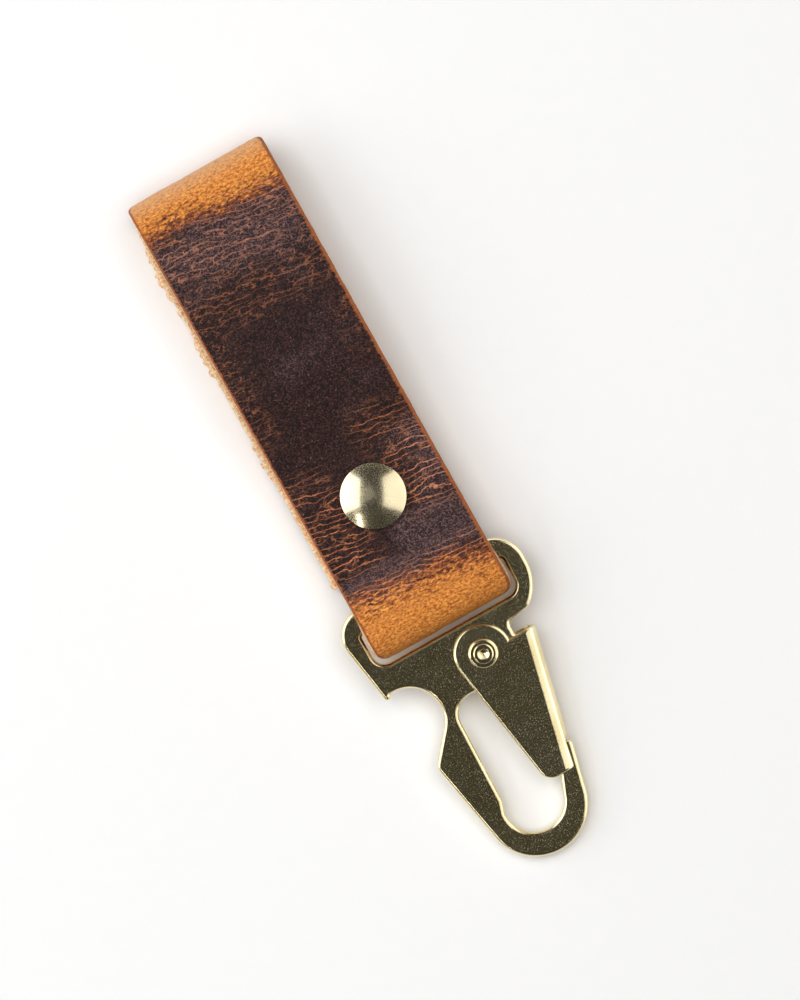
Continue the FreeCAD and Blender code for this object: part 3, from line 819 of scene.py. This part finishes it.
def metal_material(name, tints, shine, grit_size, speck_height):
    """Plated brass with fine specks and the orange peel that breaks up its reflections."""
    n = material_nodes(name)
    cloud = n.pattern(n.place(), across=6 * mm, along=6 * mm)
    grit = n.pattern(n.place(), across=grit_size, along=grit_size)
    base = n.mix(n.spread(cloud, 0.3, 0.7), *tints)
    relief = n.bump(n.spread(grit, 0.58, 0.74), speck_height)
    return n.finish(base, n.spread(grit, 0.35, 0.7, *shine), relief, metallic=1.0)


def spring_material():
    """Drawn steel wire."""
    n = material_nodes("spring_wire")
    drawn = n.pattern(n.place(), across=wire_grit, along=wire_grit)
    base = n.mix(drawn, *wire_tints)
    return n.finish(base, n.spread(drawn, 0.3, 0.7, *wire_shine), n.bump(drawn, wire_speck), metallic=1.0)


def dress(node, material):
    """Give one solid its material."""
    mesh = frame["nodes"][node].data
    mesh.materials.clear()
    mesh.materials.append(material)


def dress_metal():
    """Give every brass solid its finish."""
    dress("clip_plate", metal_material("clip_brass", plate_tints, plate_shine, plate_grit, plate_speck))
    dress("gate", metal_material("gate_brass", plate_tints, plate_shine, plate_grit, plate_speck))
    dress("gate_rivet", metal_material("pivot_brass", plate_tints, pivot_shine, plate_grit, pivot_speck))
    rivet = metal_material("rivet_brass", cap_tints, cap_shine, cap_grit, cap_speck)
    dress("strap_rivet_cap", rivet)
    dress("strap_rivet_post", rivet)


def floor():
    """Plain pale paper, just under the part."""
    r = floor_reach
    corners = [(-r, -r, 0), (r, -r, 0), (r, r, 0), (-r, r, 0)]
    sheet = mesh_object("floor", corners, [(0, 1, 2, 3)])
    sheet.location.z = -floor_drop
    n = material_nodes("floor_paper")
    paper = n.pattern(n.place(), across=paper_grain, along=paper_grain, detail=3.0)
    base = n.mix(paper, *paper_tints)
    sheet.data.materials.append(n.finish(base, paper_roughness, n.bump(paper, paper_relief)))


def soft_box(name, near, far, half_length, slide, radiance, tint):
    """Rectangular light with its length along the image: its long edges are given as sideways and height."""
    near_edge = image_right * near[0] + Vector((0, 0, near[1]))
    far_edge = image_right * far[0] + Vector((0, 0, far[1]))
    down = far_edge - near_edge
    light = bpy.data.lights.new(name, "AREA")
    light.shape = "RECTANGLE"
    light.size = 2 * half_length
    light.size_y = down.length
    light.energy = radiance * math.pi * light.size * light.size_y
    light.color = tint
    middle = (near_edge + far_edge) / 2
    facing = image_up.cross(down)
    if facing.dot(middle) > 0:
        facing = -facing
    lamp = link(name, light)
    lamp.location = middle + image_up * slide
    lamp.rotation_mode = "QUATERNION"
    lamp.rotation_quaternion = facing.to_track_quat("-Z", "Y")
    return lamp


def lights():
    """A key light on the left, a low strip and a ceiling, and two boxes that light only reflections."""
    soft_box("key_left", near=(-0.42, 1.0), far=(-0.68, 0.12),
             half_length=0.45, slide=0.10, radiance=1.9, tint=cool)
    soft_box("strip_low", near=(-0.29, 0.62), far=(-0.35, 0.58),
             half_length=0.28, slide=-0.66, radiance=6.0, tint=warm)
    ceiling = soft_box("ceiling", near=(-0.58, 1.2), far=(0.68, 1.2),
                       half_length=0.64, slide=0.16, radiance=2.76, tint=warmer)
    fill = soft_box("fill_right", near=(0.30, 1.0), far=(0.68, 0.12),
                    half_length=0.45, slide=0.16, radiance=1.12, tint=warm)
    glow = soft_box("glow_above", near=(-0.42, 1.0), far=(-0.02, 1.0),
                    half_length=0.24, slide=0.06, radiance=0.20, tint=warm)
    ceiling.visible_glossy = False
    fill.visible_diffuse = False
    glow.visible_diffuse = False


def reflected_room():
    """World for reflections only: dark overhead, pale at the sides and dark towards the image's foot."""
    world = bpy.data.worlds.new("studio")
    bpy.context.scene.world = world
    world.cycles_visibility.diffuse = False
    n = Nodes(world)
    way = n.add("ShaderNodeTexCoord").outputs["Generated"]
    parts = n.add("ShaderNodeSeparateXYZ")
    n.put(parts.inputs[0], way)
    from_foot = n.spread(n.vector_math("DOT_PRODUCT", way, image_up), -0.85, -0.25)
    rise = n.spread(parts.outputs["Z"], math.sin(sides_full_until), math.sin(overhead_full_from))
    room = n.mix(rise, n.mix(from_foot, room_foot, room_sides), room_overhead)
    n.put(n.tree.nodes["Background"].inputs["Color"], room)


def camera():
    """Camera straight above, turned and placed as the photograph's."""
    data = bpy.data.cameras.new("photo_camera")
    data.sensor_width = camera_sensor
    data.lens = camera_sensor * (camera_height - front_height) * pixels_per_metre / image_height
    view = link("photo_camera", data)
    view.location = image_centre + Vector((0, 0, camera_height))
    view.rotation_euler = (0, 0, -image_turn)
    bpy.context.scene.camera = view


camera()
lights()
reflected_room()
floor()
leather_strap()
gate_spring_wire()
dress_metal()
bpy.context.scene.view_settings.view_transform = "Standard"
